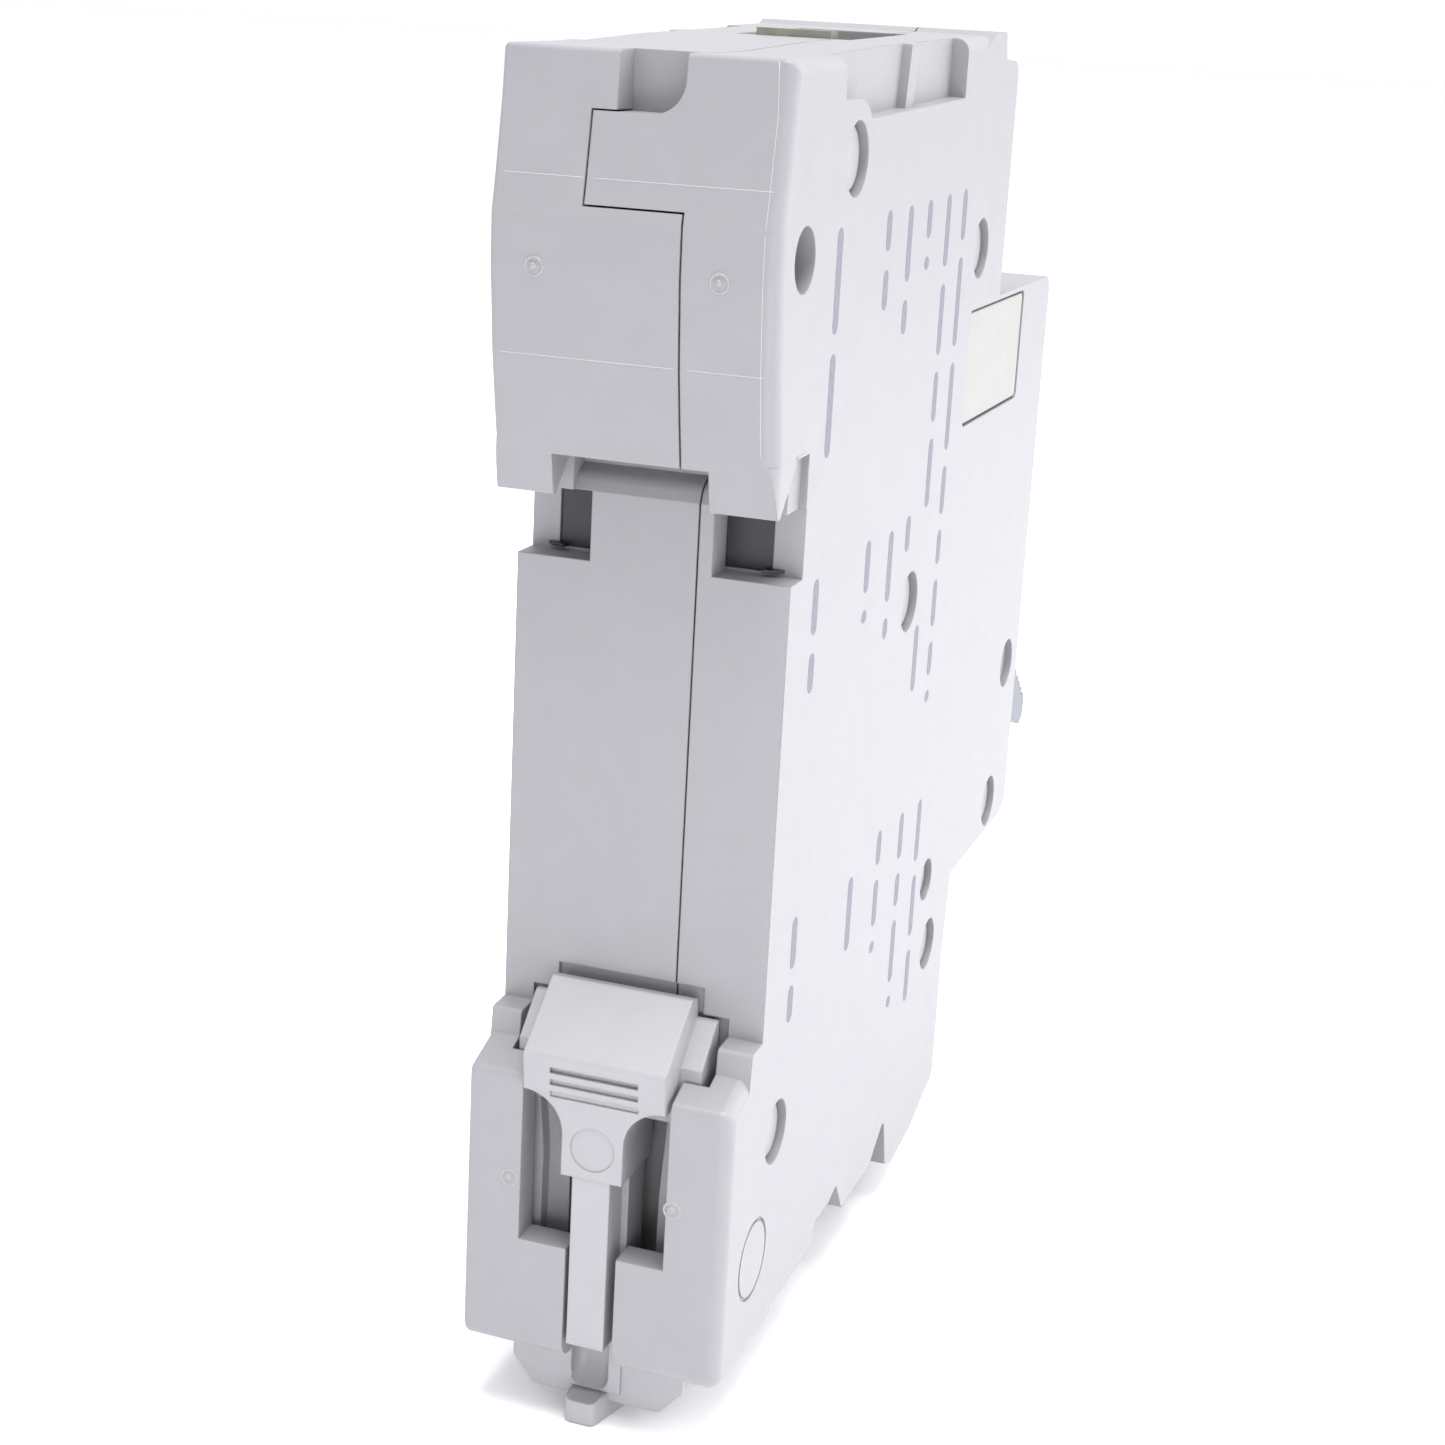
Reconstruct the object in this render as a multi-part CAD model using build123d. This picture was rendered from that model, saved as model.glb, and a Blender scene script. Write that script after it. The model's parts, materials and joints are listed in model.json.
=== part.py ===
from build123d import *
import math
import os

# One-pole miniature circuit breaker for a 35 mm top-hat rail, shown switched off.
# x runs across the width, y from the toggle at the front (negative) to the rail at the
# back, z up. Heights in this file are measured from the foot of the casing. save()
# lowers every piece by RAIL_AXIS, which puts z = 0 at the middle of the rail.

# ---- driving dimensions, in millimetres ----
MODULE_WIDTH = 18.0
RAIL_AXIS = 42.5
SIDE_WALL = 1.4
FRONT_WALL = 1.5
NOSE_FRONT = -68.3
SHOULDER_FRONT = -49.9
FOOT_FRONT = -48.6
SEAM_X = -2.95
SEAM_GAP = 0.12
TONGUE_X = 3.2
RUNNING_CLEARANCE = 0.05
COVER_CORNER_RADIUS = 0.9
MAIN_CORNER_RADIUS = 0.35

HALF = MODULE_WIDTH / 2
INNER = HALF - SIDE_WALL

# ---- pivots of the switching mechanism: (y, height) ----
TOGGLE_PIVOT = (-64.1, 32.7)
CARRIER_PIVOT = (-44.5, 35.5)
TRIP_PIVOT = (-50.5, 48.5)
FLAG_PIVOT = (-59.5, 49.5)
TOGGLE_TRAVEL = 70.0
ARM_TRAVEL = 11.5
CRANK_RADIUS = 4.204
CRANK_ANGLE = 47.443
CARRIER_CRANK_RADIUS = 8.353
CARRIER_CRANK_ANGLE = 144.891
PIN_END = 7.9

# ---- terminals ----
UPPER_SCREW_HEIGHT = 76.2
LOWER_SCREW_HEIGHT = 8.0
CAGE_HEIGHT = 7.2
CAGE_HALF_WIDTH = 5.3
CAGE_FRONT = -38.5
CAGE_BACK = -22.1
PLATE_BACK = -29.8
PLATE_THICKNESS = 1.2
SCREW_RADIUS = 2.4
SCREW_HEAD_RADIUS = 3.3
SCREW_HEAD_FRONT = -45.6
SCREW_HEAD_BACK = -43.4
SCREW_ACCESS_RADIUS = 3.0

# ---- dowels that join the two shells: (y, height, recess radius) ----
DOWELS = [
    (-8.3, 77.55, 2.3),
    (-42.3, 69.7, 2.2),
    (-28.9, 45.6, 2.2),
    (-61.5, 20.9, 2.2),
    (-40.9, 20.4, 1.7),
    (-43.0, 14.2, 2.1),
    (-4.1, 14.7, 2.2),
]
DOWEL_RADIUS = 1.4
DOWEL_BOSS_RADIUS = 2.2
DOWEL_HEAD_THICKNESS = 0.5
RECESS_DEPTH = 1.0
TIE_HOLE = (1.1, 72.2)
TIE_HOLE_RADIUS = 1.95

# ---- rail clip ----
CLIP_CENTRE = 0.25
CLIP_HEAD_HALF = 4.85
CLIP_WING_HALF = 6.3
CLIP_FOOT_HALF = 6.05

# ---- magnetic release ----
COIL_HEIGHT = 58.0
COIL_FRONT = -33.0
COIL_BACK = -19.0
WIRE_RADIUS = 0.7
WINDING_RADIUS = 5.55
WINDING_TURNS = 7

# ---- arc chute ----
ARC_PLATES = 9
ARC_FIRST_HEIGHT = 23.0
ARC_PITCH = 1.9
ARC_PLATE_THICKNESS = 0.9


# ---------------------------------------------------------------- shape helpers
def box(x0, x1, y0, y1, z0, z1):
    """A block between two corners."""
    middle = ((x0 + x1) / 2, (y0 + y1) / 2, (z0 + z1) / 2)
    return Pos(*middle) * Box(x1 - x0, y1 - y0, z1 - z0)


def outline(points):
    """A closed flat face through (a, b) corners. A third number rounds that corner."""
    stops = []
    edges = []
    for i, point in enumerate(points):
        here = Vector(point[0], point[1])
        if len(point) == 2:
            stops.append((here, here))
            continue
        last = points[i - 1]
        following = points[(i + 1) % len(points)]
        back = (Vector(last[0], last[1]) - here).normalized()
        ahead = (Vector(following[0], following[1]) - here).normalized()
        half_angle = math.radians(back.get_angle(ahead)) / 2
        start = here + back * (point[2] / math.tan(half_angle))
        end = here + ahead * (point[2] / math.tan(half_angle))
        inward = (back + ahead).normalized()
        middle = here + inward * (point[2] / math.sin(half_angle) - point[2])
        edges.append(ThreePointArc(start, middle, end))
        stops.append((start, end))
    for i, stop in enumerate(stops):
        if (stop[0] - stops[i - 1][1]).length > 1e-6:
            edges.append(Line(stops[i - 1][1], stop[0]))
    return make_face(edges)


def slab(points, x0, x1):
    """A side-view outline of (y, height) corners, drawn out from x0 to x1."""
    return extrude(Plane.YZ.offset(x0) * outline(points), x1 - x0)


def tile(points, y0, y1):
    """A front-view outline of (x, height) corners, drawn out from y0 to y1."""
    plane = Plane((0, y0, 0), x_dir=(1, 0, 0), z_dir=(0, -1, 0))
    return extrude(plane * outline(points), -(y1 - y0))


def rod_x(place, radius, x0, x1):
    """A round bar across the width. place is (y, height)."""
    return Pos((x0 + x1) / 2, *place) * Rot(0, 90, 0) * Cylinder(radius, x1 - x0)


def rod_y(x, z, radius, y0, y1):
    """A round bar from front to back."""
    return Pos(x, (y0 + y1) / 2, z) * Rot(90, 0, 0) * Cylinder(radius, y1 - y0)


def rod_z(x, y, radius, z0, z1):
    """An upright round bar."""
    return Pos(x, y, (z0 + z1) / 2) * Cylinder(radius, z1 - z0)


def web(circles, x0, x1):
    """A plate like a belt drawn tight round (y, height, radius) circles."""
    rings = Sketch() + [Pos(y, z) * Circle(r) for y, z, r in circles]
    return extrude(Plane.YZ.offset(x0) * make_hull(rings.edges()), x1 - x0)


def polar(pivot, radius, angle):
    """The (y, height) point at a radius and an angle in degrees from a pivot."""
    turn = math.radians(angle)
    return (pivot[0] + radius * math.cos(turn), pivot[1] + radius * math.sin(turn))


def turned(shape, pivot, angle):
    """shape turned about the x-wise axis through a pivot, by an angle in degrees."""
    return shape.rotate(Axis((0, *pivot), (1, 0, 0)), angle)


def coil_x(place, x0, radius, wire, pitch, turns):
    """A close coil of round wire whose axis runs across the width."""
    path = Helix(pitch, pitch * turns, radius)
    wound = sweep(Plane(path @ 0, z_dir=path % 0) * Circle(wire), path, is_frenet=True)
    return Pos(x0, *place) * Rot(0, 90, 0) * wound


def coil_y(z, y0, radius, wire, pitch, turns):
    """A coil of round wire whose axis runs from front to back at x = 0."""
    path = Helix(pitch, pitch * turns, radius)
    wound = sweep(Plane(path @ 0, z_dir=path % 0) * Circle(wire), path, is_frenet=True)
    return Pos(0, y0, z) * Rot(-90, 0, 0) * wound


def save(shape, name):
    """Writes one piece with z = 0 at the rail's middle."""
    export_step(Pos(0, 0, -RAIL_AXIS) * shape, f"parts/{name}.step")


# ------------------------------------------------------------------- the casing
CRANK_PIN = polar(TOGGLE_PIVOT, CRANK_RADIUS, CRANK_ANGLE)
CARRIER_PIN = polar(CARRIER_PIVOT, CARRIER_CRANK_RADIUS, CARRIER_CRANK_ANGLE)

CASE_OUTLINE = [
    (4.1, 83.4, 0.3),
    (-3.3, 83.5),
    (-15.1, 84.05),
    (-41.6, 84.85),
    (-42.4, 85.15, 0.3),
    (-45.2, 85.15, 0.4),
    (-45.8, 83.2),
    (SHOULDER_FRONT, 83.0, 1.2),
    (SHOULDER_FRONT, 65.6),
    (NOSE_FRONT, 65.6, 1.5),
    (NOSE_FRONT, 19.0, 1.2),
    (-66.6, 18.3),
    (-49.4, 18.2),
    (FOOT_FRONT, 10.9),
    (FOOT_FRONT, 0.4, 1.0),
    (-46.4, -0.2),
    (-42.4, -1.6),
    (-36.3, -2.2),
    (-34.6, -1.6),
    (-33.2, 3.0, 0.6),
    (-29.6, 0.5),
    (-22.2, 0.5),
    (-20.4, 3.2, 0.5),
    (-18.5, 2.6),
    (-15.1, 2.7),
    (-14.8, 1.1),
    (-5.4, 1.2),
    (-5.2, 0.0),
    (5.4, 0.0, 1.4),
    (5.3, 19.7, 0.6),
    (2.1, 20.9),
    (1.9, 22.6, 0.3),
    (0.0, 22.65),
    (0.0, 57.0),
    (-0.45, 58.0, 1.2),
    (-1.5, 58.5),
    (-1.5, 59.9, 0.5),
    (3.85, 59.75, 0.15),
    (4.4, 62.7),
    (4.9, 65.6),
    (5.45, 71.0),
    (5.5, 73.9),
    (5.1, 76.0),
    (4.4, 80.3),
]

CAVITY_OUTLINE = [
    (-1.5, 81.9),
    (-1.5, 62.0),
    (-4.3, 62.0),
    (-4.3, 50.9),
    (-1.5, 50.9),
    (-1.5, 24.2),
    (-4.2, 24.2),
    (-4.2, 4.3),
    (-35.0, 4.3),
    (-35.0, 1.2),
    (-47.1, 1.2),
    (-47.1, 19.8),
    (NOSE_FRONT + FRONT_WALL, 19.8),
    (NOSE_FRONT + FRONT_WALL, 64.1),
    (-48.4, 64.1),
    (-48.4, 81.9),
]

HOOK_OUTLINE = [(0.4, 60.05), (2.9, 57.3), (3.35, 57.2, 0.15), (3.95, 60.4), (0.4, 60.9)]
TOOTH_OUTLINE = [(-1.8, 57.0), (0.25, 57.0), (0.25, 60.6), (-1.8, 60.6)]
TERMINAL_RECESS = [(-5.1, 81.1), (-9.0, 81.1), (-9.0, 79.8), (-34.0, 80.65), (-34.0, 86.0), (-5.1, 86.0)]
TERMINAL_RECESS_DEPTH = 1.2
TERMINAL_RIB = [(-20.4, 79.5), (-22.1, 79.5), (-23.9, 85.5), (-21.5, 85.5)]
DOWEL_COLLAR_RADIUS = 3.55
NOTCH_BACK = 2.0
POCKET_DEPTH = 2.3
COUPLING_WINDOW = [(-58.6, 56.5, 0.5), (-40.8, 56.5, 0.5), (-40.8, 65.2, 0.5), (-58.6, 65.2, 0.5)]
EJECTOR_MARK = (-0.6, 7.0)


def rounded_corners(body, side, radius, lowest, highest):
    """body with one upright back corner rounded between two heights."""
    corners = body.edges().filter_by(
        lambda e: side * e.center().X > HALF - 0.01
        and e.center().Y > 3.8
        and e.length > 0.8
        and lowest < e.center().Z < highest
    )
    return fillet(corners, radius)


def hook(x0, x1, side, radius):
    """One hooked lip and the tooth under it, with its outer back corner rounded."""
    plan = box(-HALF, HALF, -5.0, 4.0, 50.0, 70.0)
    uprights = plan.edges().filter_by(Axis.Z).group_by(Axis.Y)[-1]
    plan = fillet(uprights.filter_by(lambda e: side * e.center().X > 0), radius)
    return (slab(HOOK_OUTLINE, x0, x1) & plan) + slab(TOOTH_OUTLINE, x0, x1)


def case_body():
    """The outside of both shells together, before it is hollowed."""
    body = slab(CASE_OUTLINE, -HALF, HALF)
    for side, radius in ((-1, COVER_CORNER_RADIUS), (1, MAIN_CORNER_RADIUS)):
        body = rounded_corners(body, side, radius, 59.8, 90.0)
        body = rounded_corners(body, side, radius, 1.0, 19.0)
    body += hook(5.3, HALF, 1, MAIN_CORNER_RADIUS)
    body += hook(-HALF, -4.7, -1, COVER_CORNER_RADIUS)
    for x0, x1, hole0, hole1 in ((-HALF - 1, -3.9, -7.05, -3.9), (4.12, HALF + 1, 4.12, 7.15)):
        body -= box(x0, x1, -POCKET_DEPTH, 0.6, 52.6, 57.0)
        body -= box(hole0, hole1, -6.0, -POCKET_DEPTH + 0.1, 52.8, 58.4)
    body -= box(HALF - 0.45, HALF + 1, -2.2, 0.3, 57.0, 60.4)
    body -= box(-HALF - 1, -HALF + 0.45, -2.2, 0.3, 57.0, 60.4)
    return body


def rail_side_cuts():
    """The windows, the clip's channel and the rail ledge's gap at the foot's back."""
    cuts = box(-4.9, 5.2, 3.0, 7.0, 8.2, 24.0)
    cuts += box(-6.65, 6.95, 1.6, 3.2, -1.0, 24.0)
    cuts += box(-6.65, 6.95, -0.45, 1.7, -1.0, 23.9)
    cuts += box(-5.2, 5.7, -2.0, 0.0, 1.2, 17.0)
    cuts += box(-1.66, 1.85, 3.0, 7.0, -1.0, 9.0)
    cuts += box(-4.9, 5.2, -0.3, 3.4, 17.0, 25.7)
    return cuts


def side_marks(depth_sign):
    """What is sunk into one side face: dowel recesses, terminal recess, window, mark."""
    near = HALF - RECESS_DEPTH
    far = HALF + 1
    cuts = rod_x(TOGGLE_PIVOT, 2.1, HALF - 0.6, far)
    for y, z, radius in DOWELS:
        cuts += rod_x((y, z), radius, near, far)
    recess = slab(TERMINAL_RECESS, HALF - TERMINAL_RECESS_DEPTH, far)
    recess -= slab(TERMINAL_RIB, HALF - 2, HALF - 0.6)
    cuts += recess - rod_x(DOWELS[0][:2], DOWEL_COLLAR_RADIUS, 0, far)
    cuts += slab(COUPLING_WINDOW, HALF - 0.5, far)
    ring = rod_x(EJECTOR_MARK, 2.8, HALF - 0.15, far) - rod_x(EJECTOR_MARK, 2.55, 0, far)
    cuts += ring
    return cuts if depth_sign > 0 else mirror(cuts, Plane.YZ)


def terminal_cuts():
    """Wire entries at the top and the foot, and screwdriver holes in both shoulders."""
    cuts = box(-4.0, 4.0, -36.0, -21.8, 79.0, 90.0)
    cuts += box(-4.0, 4.0, -36.0, -21.8, -5.0, 6.0)
    for height in (UPPER_SCREW_HEIGHT, LOWER_SCREW_HEIGHT):
        cuts += rod_y(0, height, SCREW_ACCESS_RADIUS, -55.0, -45.0)
    return cuts


def front_cuts():
    """The toggle's opening and the indicator's window in the nose."""
    y, z = TOGGLE_PIVOT
    cuts = box(-6.8, 6.8, NOSE_FRONT - 2, NOSE_FRONT + 2.5, z - 7.4, z + 7.4)
    cuts += box(-2.6, 2.6, NOSE_FRONT - 2, NOSE_FRONT + 2.5, 47.0, 52.0)
    cuts += box(-3.4, 3.4, NOSE_FRONT + 0.8, NOSE_FRONT + 2.5, 46.2, 52.8)
    return cuts


def inner_bosses():
    """Dowel bosses, pivot bosses and the sleeves round the screw heads."""
    bosses = Part()
    for y, z, radius in DOWELS:
        bosses += rod_x((y, z), DOWEL_BOSS_RADIUS, -INNER, INNER)
    for side in (-1, 1):
        ends = sorted((side * INNER, side * (INNER - 1.1)))
        bosses += rod_x(TOGGLE_PIVOT, 2.4, *ends)
    for height in (UPPER_SCREW_HEIGHT, LOWER_SCREW_HEIGHT):
        sleeve = rod_y(0, height, 4.3, -48.6, -43.4)
        bosses += sleeve - rod_y(0, height, SCREW_HEAD_RADIUS + 0.15, -45.75, -43.0)
    return bosses


def pin_bores():
    """Blind or through bores for the dowels, the pivots and the neighbours' tie rod."""
    bores = rod_x(TIE_HOLE, TIE_HOLE_RADIUS, -HALF - 1, HALF + 1)
    for y, z, radius in DOWELS:
        bores += rod_x((y, z), DOWEL_RADIUS + RUNNING_CLEARANCE, -HALF, HALF)
    for pivot, radius in ((TOGGLE_PIVOT, 1.2), (CARRIER_PIVOT, 1.2), (TRIP_PIVOT, 1.0), (FLAG_PIVOT, 0.8)):
        bores += rod_x(pivot, radius, -PIN_END, PIN_END)
    return bores


def case_shells():
    """The casing, hollowed, fitted out and parted along the stepped seam."""
    whole = case_body() - rail_side_cuts()
    hollow = slab(CAVITY_OUTLINE, -INNER, INNER)
    for side in (-1, 1):
        ends = sorted((side * (INNER - 0.7), side * HALF))
        hollow -= box(*ends, -40.0, 0.0, 79.0, 83.0)
    whole -= hollow - inner_bosses()
    whole -= terminal_cuts()
    whole -= front_cuts()
    whole -= pin_bores()
    whole -= side_marks(1)
    whole -= side_marks(-1)
    whole -= top_notch()
    gap = SEAM_GAP / 2
    cover_side = box(-20, SEAM_X - gap, -90, 20, -20, 100)
    main_side = box(SEAM_X + gap, 20, -90, 20, -20, 100)
    tongue_front = NOTCH_BACK + 0.1
    tongue = box(SEAM_X - 1, TONGUE_X - gap, tongue_front, 20, 74.65 + gap, 79.95)
    tongue_slot = box(SEAM_X - 1, TONGUE_X + gap, NOTCH_BACK, 20, 74.65 - gap, 100)
    flap = box(SEAM_X - 1, -0.4, tongue_front, 20, 79.9, 100)
    left_corner = box(1.7, TONGUE_X + 1, NOTCH_BACK, 20, 80.05, 100)
    foot_block = box(SEAM_X - 1, -1.0, 3.1, 7.0, -1.0, 9.0)
    cover = whole & (cover_side + tongue + flap + foot_block)
    main = whole & (main_side - tongue_slot - foot_block + left_corner)
    return main, cover


def top_notch():
    """The cable notch in the top of the back wall, with one rounded corner."""
    points = [(-2.36, 79.95, 1.9), (1.7, 79.95), (1.7, 90.0), (-2.36, 90.0)]
    return tile(points, NOTCH_BACK, 8.0)


def dowels():
    """Seven plastic dowels, each with a flat head at both ends, sunk in the recesses."""
    pins = []
    for y, z, radius in DOWELS:
        head = radius - 0.35
        depth = HALF - RECESS_DEPTH
        pin = rod_x((y, z), DOWEL_RADIUS, -depth, depth)
        pin += rod_x((y, z), head, -depth - DOWEL_HEAD_THICKNESS, -depth)
        pin += rod_x((y, z), head, depth, depth + DOWEL_HEAD_THICKNESS)
        pins.append(pin)
    return Compound(pins)


def indicator_window():
    """The clear pane with a back flange that fills the window in the nose."""
    pane = box(-2.55, 2.55, NOSE_FRONT + 0.1, NOSE_FRONT + 0.85, 47.05, 51.95)
    pane += box(-3.35, 3.35, NOSE_FRONT + 0.85, NOSE_FRONT + 1.45, 46.25, 52.75)
    return pane


def chamber_liner():
    """Two black plastic plugs of the arc chamber's liner, seen in the hook pockets."""
    plugs = []
    for x0, x1, lip0, lip1 in ((-7.0, -3.95, -7.85, -6.6), (4.17, 7.1, 6.6, 7.85)):
        plug = box(x0, x1, -5.0, -POCKET_DEPTH - 0.15, 52.85, 58.35)
        plug += box(x0 - 0.4, x1 + 0.4, -5.0, -4.35, 52.0, 58.9)
        plug += box(max(x0, lip0), min(x1, lip1), -POCKET_DEPTH - 0.2, -POCKET_DEPTH + 0.1, 52.85, 53.05)
        near, far = (lip0, lip1) if lip0 > 0 else (lip1, lip0)
        lip_plan = [(near, -1.6), (near, -2.27), (far, -2.27), (far - (far - near) * 0.35, -1.8)]
        plug += extrude(Plane.XY.offset(52.85) * outline(lip_plan), 0.2)
        plugs.append(plug)
    return Compound(plugs)


# ----------------------------------------------------------------- the rail clip
def clip_arm(side):
    """One bowed spring arm of the clip: a thick outer rib with a thin web beside it."""
    c = CLIP_CENTRE
    outer = [(6.05, 17.6), (5.6, 13.2, 14.0), (5.8, 0.1), (4.8, 0.1), (4.65, 13.2, 14.0), (5.05, 17.6)]
    inner = [(4.9, 17.6), (4.9, 0.1), (3.1, 0.1), (3.15, 11.0, 20.0), (3.55, 17.6)]
    arm = tile([(c + side * x, z, *r) for x, z, *r in outer], 0.3, 2.3)
    arm += tile([(c + side * x, z, *r) for x, z, *r in inner], 0.3, 1.2)
    return arm


def din_clip():
    """The sliding rail clip: wedge head, bowed spring arms, stem, foot and pull tab."""
    c = CLIP_CENTRE
    head_profile = [(0.1, 19.2), (5.5, 18.9, 0.3), (5.75, 21.6, 0.5), (1.3, 25.3, 0.25), (0.2, 25.0)]
    head = slab(head_profile, c - CLIP_HEAD_HALF, c + CLIP_HEAD_HALF)
    wing_profile = [(0.1, 17.4), (3.0, 17.4), (3.0, 21.3), (0.5, 23.75, 0.3), (0.1, 23.75)]
    wings = slab(wing_profile, c - CLIP_WING_HALF, c + CLIP_WING_HALF)
    neck_points = [
        (c - 2.1, 13.5),
        (c + 2.1, 13.5),
        (c + 2.1, 19.0, 2.7),
        (c + 4.83, 19.0),
        (c + 4.83, 19.6),
        (c - 4.83, 19.6),
        (c - 4.83, 19.0),
        (c - 2.1, 19.0, 2.7),
    ]
    neck = tile(neck_points, 0.1, 5.45)
    stem = box(c - 1.3, c + 1.3, 3.0, 5.4, 1.4, 13.6)
    spine = box(c - 1.75, c + 1.75, 0.3, 3.1, -3.0, 13.6)
    foot_points = [
        (c - CLIP_FOOT_HALF, 0.2),
        (c - CLIP_FOOT_HALF, -1.9, 0.6),
        (c - 4.5, -3.7, 0.6),
        (c + 4.5, -3.7, 0.6),
        (c + CLIP_FOOT_HALF, -1.9, 0.6),
        (c + CLIP_FOOT_HALF, 0.2),
    ]
    foot = tile(foot_points, 0.3, 2.95)
    tab_plan = [(-0.2, 4.5, 0.5), (1.95, 4.5, 0.5), (2.1, 1.0), (-1.2, 1.0)]
    tab = extrude(Plane.XY.offset(-5.05) * outline(tab_plan), 1.95)
    tab = fillet(tab.edges().filter_by(Plane.XY), 0.2)
    clip = head + wings + neck + spine + stem + foot + tab + clip_arm(-1) + clip_arm(1)
    scoop = rod_x((4.5, -0.6), 2.75, -0.62, 2.1)
    scoop = fillet(scoop.edges().filter_by(GeomType.CIRCLE), 0.8)
    clip -= scoop & box(-5, 5, 1.0, 7.0, -4.0, 1.38)
    clip -= rod_y(c, 15.6, 1.5, 5.37, 6.0)
    for row in range(3):
        rise = 20.9 - 0.85 * row
        clip -= box(c - 3.0, c + 3.0, 5.35, 6.5, rise - 0.4, rise)
    return clip


# ------------------------------------------------------------------- the toggle
def toggle():
    """The drum with its handle, a slit for the link and a groove for its spring."""
    y, z = TOGGLE_PIVOT
    drum = rod_x(TOGGLE_PIVOT, 7.6, -6.4, 6.4)
    handle_points = [
        (y - 6.6, z + 3.0),
        (y - 9.4, z + 2.35, 1.0),
        (y - 15.6, z + 1.15, 1.0),
        (y - 16.1, z - 0.4, 0.7),
        (y - 15.4, z - 1.5, 0.9),
        (y - 9.4, z - 2.1, 1.0),
        (y - 6.6, z - 2.9),
    ]
    handle = slab(handle_points, -6.4, 6.4)
    wide_points = [
        (y - 9.0, z + 2.2, 0.4),
        (y - 15.6, z + 1.15, 1.0),
        (y - 16.1, z - 0.4, 0.7),
        (y - 15.4, z - 1.5, 0.9),
        (y - 9.0, z - 2.0, 0.4),
    ]
    handle += slab(wide_points, -8.0, 8.0)
    for step in range(4):
        ridge = y - 10.6 - 1.2 * step
        handle -= box(-8.5, 8.5, ridge - 0.25, ridge + 0.25, z + 1.75 - 0.22 * step, z + 3)
    body = drum + turned(handle, TOGGLE_PIVOT, 30.0)
    slit = box(-0.9, 0.9, y - 1.2, y + 8.0, z - 8.0, z + 8.0)
    body -= slit - rod_x(TOGGLE_PIVOT, 2.7, -2, 2)
    body -= rod_x(TOGGLE_PIVOT, 3.0, 2.3, 5.7) - rod_x(TOGGLE_PIVOT, 1.9, 2.0, 6.0)
    body -= rod_x(TOGGLE_PIVOT, 1.2 + RUNNING_CLEARANCE, -9, 9)
    body -= rod_x(CRANK_PIN, 0.58, -3.2, 3.2)
    return body


def toggle_pin():
    """The steel pin the toggle turns on."""
    return rod_x(TOGGLE_PIVOT, 1.2, -PIN_END, PIN_END)


def toggle_spring():
    """The torsion spring that snaps the toggle over."""
    return coil_x(TOGGLE_PIVOT, 2.8, 2.45, 0.28, 0.62, 4)


def link_wire():
    """The bent wire from the toggle's crank to the contact carrier."""
    wire = rod_x(CRANK_PIN, 0.5, -3.0, 3.0) + rod_x(CARRIER_PIN, 0.5, -2.6, 2.6)
    rise = CARRIER_PIN[1] - CRANK_PIN[1]
    run = CARRIER_PIN[0] - CRANK_PIN[0]
    length = math.hypot(rise, run)
    shank = rod_y(0, 0, 0.5, 0.0, length)
    shank = shank.rotate(Axis.X, math.degrees(math.atan2(rise, run)))
    wire += Pos(0, *CRANK_PIN) * shank
    return wire


# ---------------------------------------------------------- the moving contact
def carrier_pin():
    """The steel pin that the contact carrier and the contact arm share."""
    return rod_x(CARRIER_PIVOT, 1.2, -PIN_END, PIN_END)


def contact_carrier():
    """Two plastic cheeks on the carrier pin, bridged above, slotted for the link."""
    bridge = polar(CARRIER_PIVOT, 5.9, 100.0)
    circles = [(*CARRIER_PIVOT, 3.6), (*CARRIER_PIN, 2.6), (*bridge, 1.4)]
    body = web(circles, -2.8, -1.15) + web(circles, 1.15, 2.8)
    body += rod_x(bridge, 1.2, -1.2, 1.2)
    body -= rod_x(CARRIER_PIVOT, 1.2 + RUNNING_CLEARANCE, -9, 9)
    slot_end = polar(CARRIER_PIN, 0.95, 6.0)
    body -= web([(*CARRIER_PIN, 0.72), (*slot_end, 0.72)], -9, 9)
    return body


def contact_arm_closed():
    """The copper arm as it stands when the contacts are closed."""
    points = [
        (-43.0, 38.2),
        (-27.5, 39.3, 4.0),
        (-22.4, 39.3, 0.6),
        (-21.9, 37.0, 0.6),
        (-27.0, 36.4, 6.0),
        (-43.0, 33.2),
    ]
    arm = slab(points, -0.95, 0.95) + rod_x(CARRIER_PIVOT, 3.1, -0.95, 0.95)
    return arm - rod_x(CARRIER_PIVOT, 1.2 + RUNNING_CLEARANCE, -9, 9)


def contact_arm():
    """The contact arm in the open position."""
    return turned(contact_arm_closed(), CARRIER_PIVOT, -ARM_TRAVEL)


def moving_contact_tip():
    """The silver tip on the arm's end, in the open position."""
    tip = rod_z(0, -24.6, 1.9, 39.3, 40.1) & box(-1.9, 1.9, -27, -22, 39, 41)
    return turned(tip, CARRIER_PIVOT, -ARM_TRAVEL)


def contact_spring():
    """The torsion spring that presses the contact arm up."""
    return coil_x(CARRIER_PIVOT, 3.2, 1.75, 0.3, 0.66, 4)


def fixed_contact_bar():
    """The bent strip from the coil to the fixed contact."""
    points = [
        (-33.0, 48.2),
        (-20.8, 48.2, 0.6),
        (-20.8, 42.2),
        (-26.8, 42.2),
        (-26.8, 41.0),
        (-19.6, 41.0, 0.8),
        (-19.6, 49.4, 0.8),
        (-33.0, 49.4),
    ]
    return slab(points, -2.6, 2.6) + box(2.6, 6.3, -21.5, -19.9, 48.2, 49.4)


def fixed_contact_tip():
    """The silver tip under the fixed contact bar."""
    return rod_z(0, -24.5, 1.9, 40.2, 41.0)


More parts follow.
